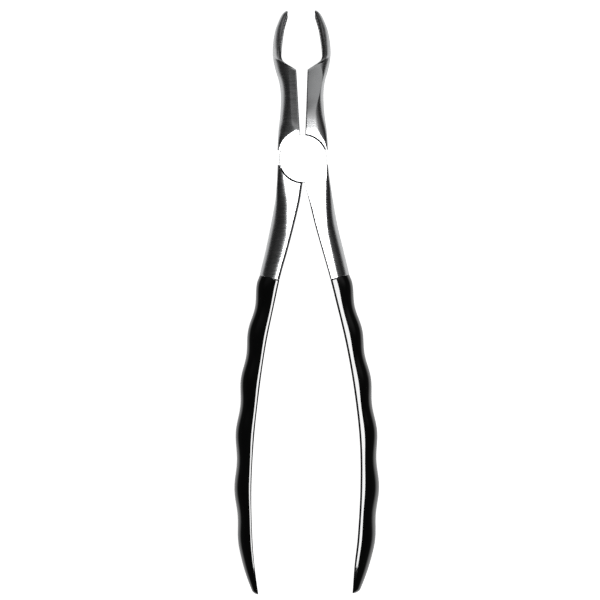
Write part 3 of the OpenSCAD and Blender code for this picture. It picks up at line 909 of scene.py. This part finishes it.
def steel_material():
    """Satin forged steel: fine strokes across the levers, turned rings on the joint faces, painted
    shade in the seam round each lap disc.
    """
    m = Shader(bpy.data.materials.new("satin_forged_steel"))
    x, y, z = m.split(m.millimetres())
    radius = m.axis_distance(x, y)
    # painted shade: the seam round each lap disc is darkened to the painted shade colour, and made
    # rougher
    seam_shade = seam_shade_mask(m, x, z, radius)
    strokes = m.noise(m.millimetres((0.12, 2.2, 0.5)), 1.0, 5.0, 0.65)
    fine = m.noise(m.millimetres((0.5, 9.0, 1.5)), 1.0, 3.0, 0.6)
    clouds = m.noise(m.millimetres(), 0.12, 3.0, 0.55)

    ground = m.math("ADD", m.math("MULTIPLY", strokes, 0.8), m.math("MULTIPLY", fine, 0.12))
    turned = m.math("MULTIPLY", m.rings(radius, FACING_RING_PITCH), 0.12)
    height = m.blend(faced_mask(m, radius), ground, turned)

    tone = m.blend(m.fit(clouds, 0.3, 0.7), STEEL_DARK, STEEL_LIGHT, "RGBA")
    rough = m.math("ADD", m.fit(strokes, 0.3, 0.7, 0.2, 0.3), m.fit(fine, 0.35, 0.65, -0.02, 0.04))
    rough = m.math("ADD", rough, m.math("MULTIPLY", seam_shade, 0.4))
    m.set(Base_Color=m.blend(seam_shade, tone, SEAM_PAINTED_SHADE, "RGBA"), Metallic=1.0, Roughness=rough,
          Normal=m.bump(height, 0.3, 0.02))
    return m.owner


def screw_material():
    """Turned steel: fine rings round the axis, a little darker than the levers."""
    m = Shader(bpy.data.materials.new("turned_screw_steel"))
    x, y, _ = m.split(m.millimetres())
    rings = m.rings(m.axis_distance(x, y), SCREW_RING_PITCH)
    specks = m.noise(m.millimetres(), 3.0, 4.0, 0.6)
    height = m.math("ADD", m.math("MULTIPLY", rings, 0.1), m.math("MULTIPLY", specks, 0.3))
    m.set(Base_Color=SCREW_GREY, Metallic=1.0, Roughness=m.fit(specks, 0.3, 0.7, 0.2, 0.34),
          Normal=m.bump(height, 0.3, 0.02))
    return m.owner


def grip_material():
    """Glossy black moulded coating with a faint orange peel and handling haze."""
    m = Shader(bpy.data.materials.new("black_moulded_coating"))
    peel = m.noise(m.millimetres(), 1.1, 2.0, 0.5)
    waves = m.noise(m.millimetres((1, 0.4, 1)), 0.22, 1.0, 0.5)
    haze = m.noise(m.millimetres(), 0.09, 4.0, 0.6)
    height = m.math("ADD", m.math("MULTIPLY", peel, 0.15), waves)
    m.set(Base_Color=GRIP_BLACK, Roughness=m.fit(haze, 0.3, 0.7, 0.08, 0.14), IOR=1.8,
          Specular_IOR_Level=0.72, Normal=m.bump(height, 0.25, 0.06))
    return m.owner


# ---------------------------------------------------------------- stage, metres

FLOOR_HALF = 3.0
FLOOR_GAP = 0.0006  # between the floor and the lowest point of the forceps
FLOOR_GLOW = 0.9

SOFTBOX_SIZE = (0.2, 0.34)
SOFTBOX_RADIANCE = 8
SOFTBOX_OFFSET = Vector((0.02, -0.05, 0.6))  # from the middle of the forceps

# radiance of the studio as the metal sees it, against the direction's height (its sine):
# the light bounce from below and the dark sides, and what the overhead bank adds above
BOUNCE = [(-1.0, 0.8), (-0.6, 0.75), (-0.42, 0.3), (-0.3, 0.03), (0.3, 0.018), (1.0, 0.018)]
BANK = [(-1.0, 0.0), (0.25, 0.0), (0.5, 0.3), (0.7, 0.36), (0.82, 0.52), (0.92, 0.78), (1.0, 1.1)]
# edges of the bank and of the wall beyond the beaks, as (from, to, level at from, level at
# to) over a direction's x or y
BANK_LEFT = (-0.4, 0.12, 0.1, 1)
BANK_RIGHT = (0.25, 0.6, 1, 0.35)
BANK_NEAR = (0.15, 0.3, 0, 1)
WALL_EDGE = (0.75, 0.92, 0, 0.45)
BACKDROP = (0.93, 0.93, 0.93, 1)

LENS_MM = 1000
SENSOR_MM = 36
PICTURE_SHARE = 1.0272  # side of the picture over the length of the forceps
CAMERA_TURN = math.radians(0.65)
AIM_ACROSS = -0.00086  # the picture's middle from the joint axis, along its own sides
AIM_UP = 0.0005  # and from the middle of the forceps' length


def build_floor():
    """Plain pale sweep under the forceps, wide enough to fill any view."""
    h, z = FLOOR_HALF, cad_box[0].z - FLOOR_GAP
    floor = mesh_object("floor", [(-h, -h, z), (h, -h, z), (h, h, z), (-h, h, z)], [(0, 1, 2, 3)])
    m = Shader(bpy.data.materials.new("pale_floor"))
    value = m.fit(m.noise(m.millimetres(), 0.01, 2.0, 0.5), 0.3, 0.7, 0.78, 0.8)
    m.set(Base_Color=m.add("CombineColor", {0: value, 1: value, 2: value}), Roughness=0.9,
          Specular_IOR_Level=0.1, Emission_Color=(1, 1, 1, 1), Emission_Strength=FLOOR_GLOW)
    floor.data.materials.append(m.owner)
    floor.visible_glossy = False


def gradient(m, value, stops):
    """Grey ramp over values from -1 to 1."""
    ramp_node = m.nodes.new("ShaderNodeValToRGB")
    m.join(m.fit(value, -1, 1), ramp_node.inputs[0])
    elements = ramp_node.color_ramp.elements
    elements[0].position, elements[1].position = 0.0, 1.0
    for index in (0, -1):
        elements[index].color = (*[stops[index][1]] * 3, 1)
    for height, level in stops[1:-1]:
        elements.new((height + 1) / 2).color = (level, level, level, 1)
    return ramp_node.outputs[0]


def build_world(scene):
    """Soft studio: overhead bank towards the beaks, dark sides, light bounce from below."""
    m = Shader(bpy.data.worlds.new("studio"))
    m.nodes.clear()
    x, y, z = m.split(m.add("TexCoord").outputs["Generated"])
    across = m.math("MULTIPLY", m.fit(x, *BANK_LEFT), m.fit(x, *BANK_RIGHT))
    lit = m.math("MULTIPLY", m.fit(y, *BANK_NEAR), across)
    bank = m.math("MULTIPLY", gradient(m, z, BANK), lit)
    level = m.math("ADD", m.math("ADD", gradient(m, z, BOUNCE), bank), m.fit(y, *WALL_EDGE))
    to_camera = m.add("LightPath").outputs["Is Camera Ray"]
    studio, backdrop = m.add("Background", {0: level}), m.add("Background", {0: BACKDROP})
    shown = m.add("MixShader", {0: to_camera, 1: studio, 2: backdrop})
    m.join(shown, m.nodes.new("ShaderNodeOutputWorld").inputs[0])
    scene.world = m.owner


def build_softbox(centre):
    """Softbox straight above, a little to the right."""
    light = bpy.data.lights.new("softbox", "AREA")
    light.shape = "RECTANGLE"
    light.size, light.size_y = SOFTBOX_SIZE
    light.energy = SOFTBOX_RADIANCE * math.pi * light.size * light.size_y
    lamp = bpy.data.objects.new("softbox", light)
    lamp.location = centre + SOFTBOX_OFFSET
    lamp.visible_camera = False
    bpy.context.collection.objects.link(lamp)


def build_camera(scene, centre, length):
    """Long lens straight above the joint's front face, turned by under a degree."""
    data = bpy.data.cameras.new("camera")
    data.lens, data.sensor_width = LENS_MM, SENSOR_MM
    data.clip_start, data.clip_end = 0.01, 20
    camera = bpy.data.objects.new("camera", data)
    camera.rotation_euler = (0, 0, -CAMERA_TURN)
    right = Vector((math.cos(CAMERA_TURN), -math.sin(CAMERA_TURN), 0))
    up = Vector((math.sin(CAMERA_TURN), math.cos(CAMERA_TURN), 0))
    aim = right * AIM_ACROSS + up * (centre.y + AIM_UP)
    distance = length * PICTURE_SHARE * LENS_MM / SENSOR_MM
    camera.location = aim + Vector((0, 0, MID_Z * MM + distance))
    bpy.context.collection.objects.link(camera)
    scene.camera = camera


def main():
    steel, screw_steel, coating = steel_material(), screw_material(), grip_material()
    build_front_half(steel)
    build_rear_half(steel)
    build_screw(screw_steel)
    build_grip("front", FRONT_HANDLE, coating)
    build_grip("rear", REAR_HANDLE, coating)

    scene = bpy.context.scene
    centre = (cad_box[0] + cad_box[1]) / 2
    length = cad_box[1].y - cad_box[0].y
    build_floor()
    build_world(scene)
    build_softbox(centre)
    build_camera(scene, centre, length)
    scene.view_settings.view_transform = "Standard"


main()
